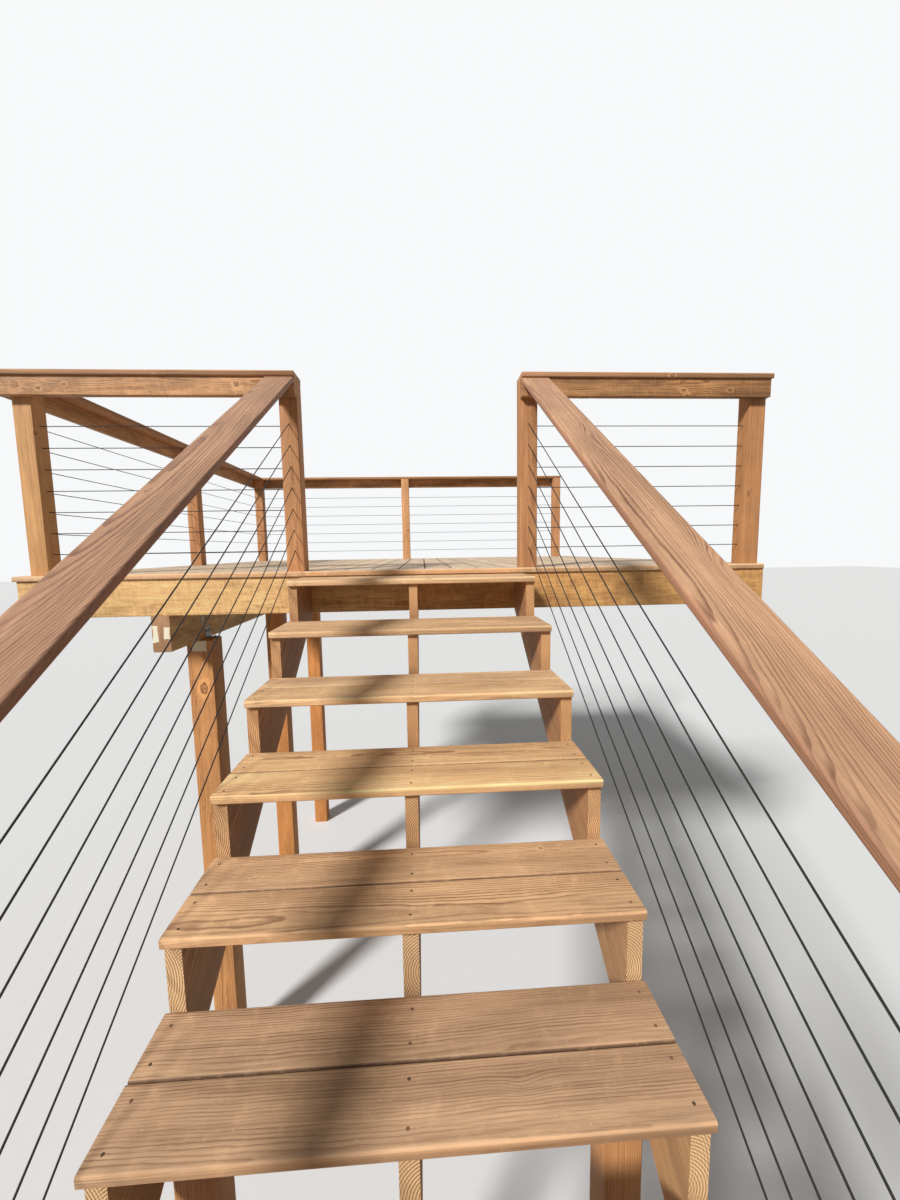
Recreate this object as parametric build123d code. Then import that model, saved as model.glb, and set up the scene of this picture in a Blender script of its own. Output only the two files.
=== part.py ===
from build123d import *
from math import ceil, floor, hypot
import os

# Raised timber deck with a straight open-riser stair and cable rails.
# Millimetres. The wall is the plane X = 0 and the deck reaches towards -X.
# The stair drops towards -Y and +Z is up.
# The origin is the middle of the ledger's wall face.

# Timber sections
ply = 38                    # thickness of every two-by board
joist_height = 184          # two-by-eight: rims, ledger, joists and beam plies
stringer_width = 286        # two-by-twelve
rail_board_height = 89      # two-by-four on edge under the caps
board_width = 140           # decking board, also used for treads, caps and handrails
board_thickness = 25
board_rounding = 6          # upper long edges
board_easing = 3            # lower long edges
board_gap = 3
rail_post = 89              # four-by-four
support_post = 140          # six-by-six

# Deck
deck_reach = 3785           # from the wall to the outer rim's outer face
deck_length = 3400          # along the wall, over the front and back rims
deck_overhang = 12          # decking and caps past the rims
wall_gap = 6                # decking, caps and the wall post stop short of the wall
joist_spacing = 400         # largest spacing, centre to centre
beam_setback = 617          # from the outer rim's outer face to the beam's outer face
beam_spacer = 13            # strip between the beam's two plies
beam_post_step = 13         # beam's outer face past the outer faces of its posts
support_post_inset = 367    # from the beam's end to an end post's middle
post_clearance = 3          # decking cut around the rail posts

# Stair
stair_middle = 1854         # from the wall to the stair's middle
stair_width = 1110          # over the outer stringers
riser_count = 17            # from the ground to the top tread
rise = 181
run = 278
nosing = 18
top_tread_drop = 28         # from the decking's top to the top tread's top
stair_post_step = 5         # tread over the stair's posts; the top tread is 0
stair_post_inset = 190      # from that tread's front edge to the posts' front faces
crossbeam_height = 89       # two-by-four

# Rails
rail_post_height = 940      # above the decking
foot_rail_height = 950      # handrail's top above the nosing line at the foot newel
handrail_rounding = 8
rail_end_gap = 12           # from the wall to the front rail board's end
back_post_gap = 134         # from the wall to the last post of the back rail
back_middle_shift = 60      # back middle post, off the middle of its rail towards the corner
handrail_tail = 110         # handrail past the foot newel
middle_newel_share = 0.5    # of the way from the top newel to the foot newel
foot_newel_setback = 130    # from the lowest tread's front edge to the foot newel

# Cables
cable_count = 7
cable_spacing = 104
cable_diameter = 4
cable_sides = 8             # cables and their holes are drawn with eight sides
cable_clearance = 0.75      # all round, where a cable enters a post
anchor_depth = 30           # hole for a cable's end

# Levels
frame_top = joist_height / 2
frame_bottom = -joist_height / 2
deck_top = frame_top + board_thickness
stair_top = deck_top - top_tread_drop
ground = stair_top - riser_count * rise
post_top = deck_top + rail_post_height
cable_levels = [deck_top + number * cable_spacing for number in range(1, cable_count + 1)]

# Plan
front_face = -deck_length / 2
back_face = deck_length / 2
outer_face = -deck_reach
front_post_face = front_face + ply
back_post_face = back_face - ply
outer_post_face = outer_face + ply
stair_x = -stair_middle
left_side = stair_x - stair_width / 2
right_side = stair_x + stair_width / 2
top_nose = front_face - run - nosing
foot_nose = top_nose - (riser_count - 1) * run
beam_face = outer_face + beam_setback

# Slopes
pitch = rise / run
pitch_length = hypot(rise, run)
stringer_depth = stringer_width * pitch_length / run
foot_newel_face = foot_nose + foot_newel_setback
foot_nosing_level = stair_top + (foot_newel_face - top_nose) * pitch
rail_slope = (post_top - foot_nosing_level - foot_rail_height) / (front_face - foot_newel_face)
handrail_depth = board_thickness * hypot(1, rail_slope)
middle_newel_face = front_post_face + (foot_newel_face - front_post_face) * middle_newel_share

os.makedirs("parts", exist_ok=True)


def save(name, solids):
    """Write one node; a list becomes a compound of separate solids."""
    shape = Compound(solids) if isinstance(solids, list) else solids
    export_step(shape, f"parts/{name}.step")


def block(x, y, z):
    """A box from its low and high value along each axis."""
    size = Box(x[1] - x[0], y[1] - y[0], z[1] - z[0])
    return Pos((x[0] + x[1]) / 2, (y[0] + y[1]) / 2, (z[0] + z[1]) / 2) * size


def side_cut(points, x):
    """A profile drawn in Y and Z, extruded from one X to another."""
    face = Plane.YZ * Polygon(*points, align=None)
    return Pos(x[0], 0, 0) * extrude(face, x[1] - x[0])


def board_section(width):
    """End of a decking board, its middle on the origin and its upper side towards +Y."""
    section = Rectangle(width, board_thickness)
    section = fillet(section.vertices().sort_by(Axis.Y)[-2:], board_rounding)
    return chamfer(section.vertices().sort_by(Axis.Y)[:2], board_easing)


def board_along_x(x, y, top):
    """A decking board lying along X; y is its front edge."""
    face = Plane.YZ * Pos(y + board_width / 2, top - board_thickness / 2) * board_section(board_width)
    return Pos(x[0], 0, 0) * extrude(face, x[1] - x[0])


def board_along_y(x, y, top, width=board_width):
    """The same board lying along Y; x is its left edge."""
    face = Plane.XZ * Pos(x + width / 2, top - board_thickness / 2) * board_section(width)
    return Pos(0, y[1], 0) * extrude(face, y[1] - y[0])


def bar(line, diameter):
    """A straight cable, or the hole for one, from the line's start to its end."""
    start, end = line
    path = Vector(*end) - Vector(*start)
    face = Plane(origin=start, z_dir=path) * RegularPolygon(diameter / 2, cable_sides)
    return extrude(face, path.length, dir=path.normalized())


def drilled(post, lines):
    """A post with a hole along every cable line that meets it."""
    for line in lines:
        post -= bar(line, cable_diameter + 2 * cable_clearance)
    return post


def handrail_top(y):
    """Height of the handrail's top at Y."""
    return post_top + (y - front_face) * rail_slope


def stringer_underside(y):
    """Height of the stringer's lower edge at Y."""
    return stair_top - board_thickness + (y - top_nose - nosing) * pitch - stringer_depth


def tread_top(step):
    return stair_top - step * rise


def tread_nose(step):
    return top_nose - step * run


def stair_cable_lines(x):
    """Cables of one side; at the top newel's front face they are at the level cables' heights."""
    middle = (x[0] + x[1]) / 2
    ends = (foot_newel_face + rail_post - anchor_depth, front_post_face + anchor_depth)
    lines = []
    for level in cable_levels:
        lines.append([(middle, y, level + (y - front_post_face) * rail_slope) for y in ends])
    return lines


# Stair treads

def tread(step):
    """Two boards side by side, with the front one at the nosing."""
    x = (left_side, right_side)
    y = tread_nose(step)
    top = tread_top(step)
    return [board_along_x(x, y, top), board_along_x(x, y + board_width + board_gap, top)]


for step in range(riser_count):
    save(f"tread_{step + 1:02d}", tread(step))


# Sawn stringers

def stringer(x):
    """Two-by-twelve cut for level treads and plumb risers, with a level foot."""
    points = [(front_face, stringer_underside(front_face))]
    points.append((front_face, stair_top - board_thickness))
    for step in range(riser_count):
        y = tread_nose(step) + nosing
        points.append((y, tread_top(step) - board_thickness))
        below = max(tread_top(step + 1) - board_thickness, ground)
        points.append((y, below))
    heel = front_face + (ground - stringer_underside(front_face)) / pitch
    points.append((heel, ground))
    return side_cut(points, (x, x + ply))


save("left_stringer", stringer(left_side))
save("middle_stringer", stringer(stair_x - ply / 2))
save("right_stringer", stringer(right_side - ply))


# Posts and crossbeam under the flight

stair_post_front = tread_nose(stair_post_step) + stair_post_inset
stair_post_y = (stair_post_front, stair_post_front + rail_post)
stair_post_z = (ground, tread_top(stair_post_step) - board_thickness)
left_post_x = (left_side + ply, left_side + ply + rail_post)
right_post_x = (right_side - ply - rail_post, right_side - ply)

# Four-by-fours against the outer stringers' inner faces, up to the tread above.
save("stair_posts", [block(x, stair_post_y, stair_post_z) for x in (left_post_x, right_post_x)])

crossbeam_y = (stair_post_front + (rail_post - ply) / 2, stair_post_front + (rail_post + ply) / 2)
crossbeam_bottom = stringer_underside(crossbeam_y[0]) - crossbeam_height
crossbeam = side_cut(
    [(crossbeam_y[0], crossbeam_bottom), (crossbeam_y[1], crossbeam_bottom)]
    + [(y, stringer_underside(y)) for y in reversed(crossbeam_y)],
    (left_post_x[1], right_post_x[0]),
)
save("stair_crossbeam", crossbeam)


# Newels

left_newel_x = (left_side - rail_post, left_side)
right_newel_x = (right_side, right_side + rail_post)


def flight_newel(x, front, lower_end):
    """Newel on a stringer's outer face, cut to the handrail's underside."""
    y = (front, front + rail_post)
    points = [(y[0], lower_end(y[0])), (y[1], lower_end(y[1]))]
    points += [(end, handrail_top(end) - handrail_depth) for end in reversed(y)]
    return drilled(side_cut(points, x), stair_cable_lines(x))


def at_ground(y):
    return ground


both_sides = (left_newel_x, right_newel_x)
save("middle_newels", [flight_newel(x, middle_newel_face, stringer_underside) for x in both_sides])
save("foot_newels", [flight_newel(x, foot_newel_face, at_ground) for x in both_sides])


# Handrails

def handrail(x):
    """Board laid flat on the slope, plumb cut against the level rail."""
    foot = foot_newel_face - handrail_tail
    ends = (foot, front_face)
    points = [(y, handrail_top(y) - handrail_depth) for y in ends]
    points += [(y, handrail_top(y)) for y in reversed(ends)]
    rail = side_cut(points, x)
    slope = Axis((0, 0, 0), (0, 1, rail_slope))
    return fillet(rail.edges().filter_by(slope), handrail_rounding)


save("left_handrail", handrail((left_side - board_width, left_side)))
save("right_handrail", handrail((right_side, right_side + board_width)))


# Stair cables

for side, x in (("left", left_newel_x), ("right", right_newel_x)):
    save(f"{side}_stair_cables", [bar(line, cable_diameter) for line in stair_cable_lines(x)])


# Deck frame

inside_x = (outer_post_face, -ply)
frame_z = (frame_bottom, frame_top)

save("wall_ledger", block((-ply, 0), (front_post_face + rail_post, back_post_face), frame_z))
save("front_rim", block((outer_face, 0), (front_face, front_post_face), frame_z))
save("back_rim", block((outer_face, 0), (back_post_face, back_face), frame_z))
save("outer_rim", block((outer_face, outer_post_face), (front_post_face, back_post_face), frame_z))

rim_middles = deck_length - ply
bay_count = ceil(rim_middles / joist_spacing)


def joist_middle(number):
    """Middle of a joist, counted from the front rim; a half is the middle of a bay."""
    return front_face + ply / 2 + number * rim_middles / bay_count


joists = []
for number in range(1, bay_count):
    y = joist_middle(number)
    joists.append(block(inside_x, (y - ply / 2, y + ply / 2), frame_z))
save("joists", joists)


# Beam and its posts

beam_z = (frame_bottom - joist_height, frame_bottom)
beam_y = (front_face, back_face)
spacer_x = (beam_face + ply, beam_face + ply + beam_spacer)
save("beam_outer_ply", block((beam_face, spacer_x[0]), beam_y, beam_z))
save("beam_spacer", block(spacer_x, beam_y, beam_z))
save("beam_inner_ply", block((spacer_x[1], spacer_x[1] + ply), beam_y, beam_z))

beam_post_x = (beam_face + beam_post_step, beam_face + beam_post_step + support_post)


def beam_post(y):
    """Six-by-six from the ground to the beam's underside."""
    return block(beam_post_x, (y - support_post / 2, y + support_post / 2), (ground, beam_z[0]))


beam_post_middles = (front_face + support_post_inset, 0, back_face - support_post_inset)
save("beam_posts", [beam_post(y) for y in beam_post_middles])


# Deck rail posts and level cables

front_y = (front_post_face, front_post_face + rail_post)
back_y = (back_post_face - rail_post, back_post_face)
outer_x = (outer_post_face, outer_post_face + rail_post)
middle_bay = joist_middle(bay_count // 2 + 0.5)
middle_y = (middle_bay - rail_post / 2, middle_bay + rail_post / 2)
wall_x = (-wall_gap - rail_post, -wall_gap)
back_end_x = (-back_post_gap - rail_post, -back_post_gap)
back_middle = (outer_x[0] + back_end_x[1]) / 2 - back_middle_shift
back_middle_x = (back_middle - rail_post / 2, back_middle + rail_post / 2)
post_z = (frame_bottom, post_top)


def lines_along_x(left_post, right_post, y):
    """Level cables from one post to another, each end inside its post."""
    x = (left_post[1] - anchor_depth, right_post[0] + anchor_depth)
    middle = (y[0] + y[1]) / 2
    return [((x[0], middle, level), (x[1], middle, level)) for level in cable_levels]


def lines_along_y(front_post, back_post, x):
    """The same along the deck's outer side."""
    y = (front_post[1] - anchor_depth, back_post[0] + anchor_depth)
    middle = (x[0] + x[1]) / 2
    return [((middle, y[0], level), (middle, y[1], level)) for level in cable_levels]


left_lines = lines_along_x(outer_x, left_newel_x, front_y)
right_lines = lines_along_x(right_newel_x, wall_x, front_y)
side_lines = lines_along_y(front_y, back_y, outer_x)
back_lines = lines_along_x(outer_x, back_end_x, back_y)

save("front_cables", [bar(line, cable_diameter) for line in left_lines + right_lines])
save("side_cables", [bar(line, cable_diameter) for line in side_lines])
save("back_cables", [bar(line, cable_diameter) for line in back_lines])


def deck_post(name, x, y, lines):
    save(name, drilled(block(x, y, post_z), lines))


deck_post("front_corner_post", outer_x, front_y, left_lines + side_lines)
deck_post("front_wall_post", wall_x, front_y, right_lines)
deck_post("side_middle_post", outer_x, middle_y, side_lines)
deck_post("back_corner_post", outer_x, back_y, side_lines + back_lines)
deck_post("back_middle_post", back_middle_x, back_y, back_lines)
deck_post("back_end_post", back_end_x, back_y, back_lines)

left_newel = drilled(block(left_newel_x, front_y, post_z), stair_cable_lines(left_newel_x) + left_lines)
right_newel = drilled(block(right_newel_x, front_y, post_z), stair_cable_lines(right_newel_x) + right_lines)
save("top_newels", [left_newel, right_newel])


# Level rail boards and caps

rail_z = (post_top - rail_board_height, post_top)
cap_top = post_top + board_thickness
cap_front = front_face - deck_overhang
cap_back = back_face + deck_overhang
cap_outer = outer_face - deck_overhang
front_boards_y = (front_face, front_post_face)
back_boards_y = (back_post_face, back_face)

left_run_x = (outer_face, left_side)
right_run_x = (right_side, -rail_end_gap)
save("front_rail_boards", [block(x, front_boards_y, rail_z) for x in (left_run_x, right_run_x)])
save("side_rail_board", block((outer_face, outer_post_face), (front_post_face, back_post_face), rail_z))
save("back_rail_board", block((outer_face, back_end_x[1]), back_boards_y, rail_z))

cap_runs = ((cap_outer, left_side), (right_side, -wall_gap))
save("front_caps", [board_along_x(x, cap_front, cap_top) for x in cap_runs])
side_cap_y = (cap_front + board_width, cap_back - board_width)
save("side_cap", board_along_y(cap_outer, side_cap_y, cap_top))
save("back_cap", board_along_x((cap_outer, back_end_x[1]), cap_back - board_width, cap_top))


# Decking, cut around the rail posts

def around(x, y):
    """Space that a post takes in the decking, with its clearance."""
    gap = post_clearance
    return block((x[0] - gap, x[1] + gap), (y[0] - gap, y[1] + gap), (frame_top, deck_top))


post_places = [
    (outer_x, front_y), (left_newel_x, front_y), (right_newel_x, front_y), (wall_x, front_y),
    (outer_x, middle_y), (outer_x, back_y), (back_middle_x, back_y), (back_end_x, back_y),
]
post_spaces = [around(x, y) for x, y in post_places]


def fitted(board):
    """Cut a board around every post that it meets."""
    for space in post_spaces:
        if (board & space).volume > 0:
            board -= space
    return board


deck_x = (outer_face - deck_overhang, -wall_gap)
border_boards = [board_along_x(deck_x, y, deck_top) for y in (cap_front, cap_back - board_width)]
save("deck_border_boards", [fitted(board) for board in border_boards])

deck_boards = []
field_y = (cap_front + board_width + board_gap, cap_back - board_width - board_gap)
board_pitch = board_width + board_gap
whole_boards = floor((deck_x[1] - deck_x[0] + board_gap) / board_pitch)
for number in range(whole_boards):
    deck_boards.append(board_along_y(deck_x[0] + number * board_pitch, field_y, deck_top))
rip_start = deck_x[0] + whole_boards * board_pitch
rip_width = deck_x[1] - rip_start
if rip_width > 2 * board_rounding:
    deck_boards.append(board_along_y(rip_start, field_y, deck_top, rip_width))
save("deck_boards", [fitted(board) for board in deck_boards])
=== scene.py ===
import math
import random

import bmesh
import bpy
from mathutils import Matrix, Vector


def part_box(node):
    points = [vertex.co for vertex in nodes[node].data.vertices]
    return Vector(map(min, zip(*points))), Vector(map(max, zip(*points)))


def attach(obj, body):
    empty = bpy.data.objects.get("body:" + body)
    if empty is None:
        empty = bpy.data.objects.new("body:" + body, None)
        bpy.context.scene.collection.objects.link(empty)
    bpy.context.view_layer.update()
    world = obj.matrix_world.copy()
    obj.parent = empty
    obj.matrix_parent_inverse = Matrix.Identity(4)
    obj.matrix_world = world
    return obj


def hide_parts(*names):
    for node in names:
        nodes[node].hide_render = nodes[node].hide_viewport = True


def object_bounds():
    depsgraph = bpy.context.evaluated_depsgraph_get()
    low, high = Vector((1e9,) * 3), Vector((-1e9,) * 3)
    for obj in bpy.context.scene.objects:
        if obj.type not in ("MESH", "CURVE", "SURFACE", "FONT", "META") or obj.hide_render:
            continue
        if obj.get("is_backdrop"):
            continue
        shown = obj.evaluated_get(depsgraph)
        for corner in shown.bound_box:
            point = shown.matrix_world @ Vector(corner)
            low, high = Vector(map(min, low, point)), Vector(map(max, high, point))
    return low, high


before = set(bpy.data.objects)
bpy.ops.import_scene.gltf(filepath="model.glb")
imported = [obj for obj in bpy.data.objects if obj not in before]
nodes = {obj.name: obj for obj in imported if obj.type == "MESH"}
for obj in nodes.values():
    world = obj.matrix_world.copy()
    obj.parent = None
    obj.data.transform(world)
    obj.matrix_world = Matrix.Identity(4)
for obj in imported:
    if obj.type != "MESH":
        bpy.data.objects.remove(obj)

# Raised timber deck with an open stair and cable rails.
# Metres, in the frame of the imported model: the wall is at X = 0, the deck reaches towards -X,
# the stair drops towards -Y and +Z is up.

cad_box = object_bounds()
dice = random.Random(7)

# Directions of the grain
ALONG_X = (Vector((1, 0, 0)), Vector((0, 1, 0)), Vector((0, 0, 1)))
ALONG_Y = (Vector((0, 1, 0)), Vector((1, 0, 0)), Vector((0, 0, 1)))
ALONG_Z = (Vector((0, 0, 1)), Vector((1, 0, 0)), Vector((0, 1, 0)))
ON_EDGE_X = (Vector((1, 0, 0)), Vector((0, 0, 1)), Vector((0, 1, 0)))
ON_EDGE_Y = (Vector((0, 1, 0)), Vector((0, 0, 1)), Vector((1, 0, 0)))


def sloped(rise, run, flat):
    """Grain along the flight; a flat board has its width along X, a stringer its thickness."""
    along = Vector((0, run, rise)).normalized()
    square = Vector((0, -rise, run)).normalized()
    side = Vector((1, 0, 0))
    return (along, side, square) if flat else (along, square, side)


def span(name, axis):
    """Low and high value of a node along one axis."""
    low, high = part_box(name)
    return low[axis], high[axis]


X, Y, Z = 0, 1, 2
tread_run = span("tread_01", Y)[0] - span("tread_02", Y)[0]
tread_rise = span("tread_01", Z)[0] - span("tread_02", Z)[0]
rail_low, rail_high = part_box("left_handrail")
rail_pitch = (rail_high.z - rail_low.z) / (rail_high.y - rail_low.y)
GRAIN_STRINGER = sloped(tread_rise, tread_run, False)
GRAIN_HANDRAIL = sloped(rail_pitch, 1, True)


# Node helpers

def lighter(colour, factor):
    return [min(1, value * factor) for value in colour]


class Nodes:
    """A node tree with short ways to add nodes and to join them."""

    def __init__(self, tree):
        self.tree = tree

    def add(self, kind, inputs=None, **settings):
        """Add a node with its settings; inputs says what each socket takes."""
        node = self.tree.nodes.new(kind)
        for key, value in settings.items():
            setattr(node, key, value)
        self.fill(node, inputs or {})
        return node

    def fill(self, node, inputs):
        """Connect sockets, or set those that take a constant."""
        for key, value in inputs.items():
            socket = node.inputs[key]
            if isinstance(value, bpy.types.NodeSocket):
                self.tree.links.new(value, socket)
            elif socket.type == "RGBA":
                socket.default_value = (*value, 1)
            else:
                socket.default_value = value

    def math(self, operation, *values):
        return self.add("ShaderNodeMath", dict(enumerate(values)), operation=operation).outputs[0]

    def times(self, first, second):
        return self.math("MULTIPLY", first, second)

    def vector(self, operation, *values, **named):
        inputs = {**dict(enumerate(values)), **named}
        outputs = self.add("ShaderNodeVectorMath", inputs, operation=operation).outputs
        return outputs["Value" if operation in ("DOT_PRODUCT", "LENGTH") else "Vector"]

    def shows_backdrop(self):
        """1 for the camera's rays and for those that mirrors and glass send on."""
        rays = self.add("ShaderNodeLightPath").outputs
        seen = self.math("MAXIMUM", rays["Is Camera Ray"], rays["Is Glossy Ray"])
        return self.math("MAXIMUM", seen, rays["Is Transmission Ray"])


class Shader(Nodes):
    """A material's node tree, with what the materials here use."""

    def __init__(self, name):
        self.material = bpy.data.materials.new(name)
        self.material.use_nodes = True
        super().__init__(self.material.node_tree)
        self.tree.nodes.clear()
        self.surface = self.add("ShaderNodeBsdfPrincipled")
        self.add("ShaderNodeOutputMaterial", {"Surface": self.surface.outputs[0]})

    def paint(self, inputs):
        """Feed the surface, and give the material."""
        self.fill(self.surface, inputs)
        return self.material

    def place(self):
        return self.add("ShaderNodeTexCoord").outputs["Object"]

    def attribute(self, name, output):
        return self.add("ShaderNodeAttribute", attribute_name=name).outputs[output]

    def combine(self, x, y, z):
        return self.add("ShaderNodeCombineXYZ", {0: x, 1: y, 2: z}).outputs[0]

    def separate(self, vector):
        return self.add("ShaderNodeSeparateXYZ", {0: vector}).outputs

    def noise(self, vector, scale=1.0, detail=2.0, roughness=0.5, output="Fac"):
        inputs = {"Vector": vector, "Scale": scale, "Detail": detail, "Roughness": roughness}
        return self.add("ShaderNodeTexNoise", inputs).outputs[output]

    def cells(self, vector, scale, **settings):
        inputs = {"Vector": vector, "Scale": scale}
        return self.add("ShaderNodeTexVoronoi", inputs, feature="F1", **settings).outputs

    def luck(self, seed):
        """Three random numbers, as a colour, for each value of the seed."""
        return self.add("ShaderNodeTexWhiteNoise", {"W": seed}, noise_dimensions="1D").outputs["Color"]

    def bump(self, height, strength, distance):
        inputs = {"Height": height, "Strength": strength, "Distance": distance}
        return self.add("ShaderNodeBump", inputs).outputs[0]

    def fade(self, value, start, end, low=0.0, high=1.0):
        """Smooth step from low at start to high at end."""
        inputs = {"Value": value, "From Min": start, "From Max": end, "To Min": low, "To Max": high}
        return self.add("ShaderNodeMapRange", inputs, interpolation_type="SMOOTHSTEP").outputs[0]

    def ridge(self, value, rise, fall):
        """1 between two slopes, each given by where it is 0 and where it is 1."""
        return self.times(self.fade(value, *rise), self.fade(value, *fall))

    def mix(self, share, first, second):
        return self.add("ShaderNodeMix", {0: share, 6: first, 7: second}, data_type="RGBA").outputs[2]

    def tinge(self, colour, tone, value, start, end, share=1.0):
        """Mix a tone in, up to a share of it, as the value goes from start to end."""
        return self.mix(self.fade(value, start, end, 0.0, share), colour, tone)


# Timber

KNOT_STEP, KNOT_TURN = 0.26, 1.1    # cells that may hold a knot: metres along, radians round the pith
NO_KNOT = 50                        # half widths away from any knot
SWIRL_REACH = 2.4                   # half widths over which the grain flows round a knot
KNOT_RINGS = 3.4                    # by how many rings it does
JOINT_DIRT_AND_SHADE = (0.0042, 0.0008)       # where the dirt and painted shade of a joint begin and are full, past its edge
SPECK = (0.80, 0.72, 0.60)
BARE_WOOD = (0.97, 0.88, 0.66)
RAG_SCALE, RAG_WIDTH = 24, 0.018    # how often and how far the outline of a bare patch strays
RAG_ROOM = 0.01                     # it strays along an axis where the patch is wider than this
RIM = 0.001                         # half the width over which the stain begins
BRIGHTEST = (0.93, 0.93, 0.93)


def timber(name, grain, early, late, edge, ring=0.0052, band=(0.30, 0.82), contrast=0.85,
           pith=(0.05, 0.05), wander=0.05, wavy=1.0, knots=0.05, halo=0.6, streak=0.3, saw=0.0,
           worn=0.0, specks=0.0, blotch=0.16, painted_shade_under=0.0, cut=None, bare=(), placed=(), deeper=None,
           joints=None, figure=None):
    """Stained softwood: growth rings about a wandering pith, fibres, knots, saw marks and cut ends.

    early and late are the colours of a ring's pale and dark parts, edge that of rounded edges and
    cut that of sawn ends; band is where the dark part of a ring begins and is full, as shares of it;
    pith is how far off the board's middle the rings' centre may lie, across and through it;
    bare lists boxes (low and high corner) where the wood is not stained;
    placed lists knots at known places, each with its half width and None where its heart shows, or
    by how many rings the grain swirls there and how much of the distance along it counts;
    deeper gives an axis, two values along it and the tint past the second: the stain's colour, and on
    the stringers partly painted shade;
    joints gives an axis, a joint's place, the step to the next and half the width of its dirt and
    painted shade;
    figure gives two values of Y, how much wider the rings are past the second and the share of
    their contrast that is left before the first.
    """
    s = Shader(name)
    place = s.place()
    spot = s.separate(place)
    local = s.vector("SUBTRACT", place, s.attribute("board_middle", "Vector"))
    board = s.attribute("board", "Fac")
    along, across, depth = (s.vector("DOT_PRODUCT", local, axis) for axis in grain)
    luck = s.separate(s.luck(board))
    more_luck = s.separate(s.luck(s.math("ADD", board, 0.37)))
    shifted = s.math("MULTIPLY_ADD", luck[0], 60, along)

    def stretched(along_scale, across_scale, detail=2.0, roughness=0.5):
        """Noise drawn out along the grain; the scales are in cells a metre."""
        point = s.combine(s.times(shifted, along_scale), s.times(across, across_scale),
                          s.times(depth, across_scale))
        return s.noise(point, 1.0, detail, roughness)

    def bell(value):
        """1 where the value is 0, falling off smoothly over the reach of a swirl."""
        square = s.math("POWER", s.math("DIVIDE", value, SWIRL_REACH), 2.0)
        return s.math("EXPONENT", s.times(square, -1.0))

    def centred(value):
        return s.math("SUBTRACT", value, 0.5)

    # The pith lies off the board's middle and wanders slowly along it
    slow = s.combine(s.times(shifted, 0.9), s.times(luck[1], 20), 0.0)
    drift = s.separate(s.noise(slow, 1.0, 1.5, output="Color"))
    side = s.math("SIGN", centred(luck[2]))
    pith_across = s.times(centred(drift[0]), wander)
    pith_across = s.math("MULTIPLY_ADD", centred(luck[1]), 2 * pith[0], pith_across)
    pith_depth = s.math("MULTIPLY_ADD", more_luck[0], pith[1], pith[1] * 0.35)
    pith_depth = s.math("MULTIPLY_ADD", centred(drift[1]), wander, pith_depth)
    from_across = s.math("SUBTRACT", across, pith_across)
    from_depth = s.math("SUBTRACT", pith_depth, s.times(depth, side))
    true_radius = s.vector("LENGTH", s.combine(from_across, from_depth, 0.0))
    turn = s.math("ARCTAN2", from_across, from_depth)

    # Knots grow outwards from the pith or lie at known places, and the rings flow round them
    cell = s.combine(s.math("DIVIDE", shifted, KNOT_STEP),
                     s.math("ADD", s.math("DIVIDE", turn, KNOT_TURN), s.times(luck[2], 9)), 0.0)
    spots = s.cells(cell, 1, voronoi_dimensions="2D")
    offset = s.separate(s.vector("SUBTRACT", cell, spots["Position"]))
    around = s.times(s.times(offset[1], KNOT_TURN), true_radius)
    knot_gap = s.vector("LENGTH", s.combine(s.times(offset[0], KNOT_STEP * 0.72), around, 0.0))
    knot_luck = s.separate(spots["Color"])
    has_knot = s.math("LESS_THAN", knot_luck[0], knots)
    knot_size = s.math("MULTIPLY_ADD", knot_luck[1], 0.008, 0.005)
    knot_size = s.times(knot_size, s.fade(true_radius, 0.0, 0.08, 0.35, 1.25))
    lump = s.fade(stretched(34, 90, 1.0), 0.2, 0.8, 0.72, 1.34)
    knot_near = s.math("DIVIDE", knot_gap, knot_size)
    knot_near = s.math("ADD", knot_near, s.times(s.math("SUBTRACT", 1.0, has_knot), NO_KNOT))
    flow = 0.0
    for point, half_width, swirl in placed:
        away = s.vector("SUBTRACT", place, point)
        parts = [s.vector("DOT_PRODUCT", away, axis) for axis in grain]
        rings, drawn_out = swirl or (0.0, 0.6)
        gap = s.combine(s.times(parts[0], drawn_out), parts[1], s.times(parts[2], 0.4))
        gap = s.math("DIVIDE", s.vector("LENGTH", gap), half_width)
        if swirl:
            flow = s.math("MULTIPLY_ADD", bell(gap), rings, flow)
        else:
            knot_near = s.math("MINIMUM", knot_near, gap)
    knot_near = s.times(knot_near, lump)
    swell = s.math("MULTIPLY_ADD", bell(knot_near), KNOT_RINGS, flow)
    knot = s.fade(knot_near, 1.1, 0.85)
    knot_rim = s.ridge(knot_near, (0.7, 1.0), (1.4, 1.08))
    knot_halo = s.ridge(knot_near, (1.0, 1.4), (3.0, 1.7))

    # Growth rings: a wide pale band, then a dark one with a sharp outer edge
    radius = true_radius
    for along_scale, across_scale, share in ((3.4, 13, 1.5), (17, 60, 0.4)):
        waves = centred(stretched(along_scale, across_scale))
        radius = s.math("MULTIPLY_ADD", waves, ring * share * wavy, radius)
    radius = s.math("MULTIPLY_ADD", swell, ring, radius)
    turns = s.math("DIVIDE", radius, ring)
    if figure:
        start, end, wider, share_before = figure
        how_far = s.fade(spot[Y], start, end)
        turns = s.math("DIVIDE", turns, s.fade(how_far, 0.0, 1.0, 1.0, wider))
    late_band = s.ridge(s.math("FRACT", turns), band, (1.0, 0.92))
    strength = s.noise(s.combine(s.times(shifted, 1.2), s.math("FLOOR", turns), luck[1]), 0.7, 1.0)
    late_share = s.times(late_band, s.fade(strength, 0.25, 0.7, contrast * 0.35, contrast))
    late_share = s.times(late_share, s.fade(stretched(1.7, 15), 0.32, 0.6, 0.45, 1.1))
    if figure:
        late_share = s.times(late_share, s.fade(how_far, 0.0, 1.0, share_before, 1.0))

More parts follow.
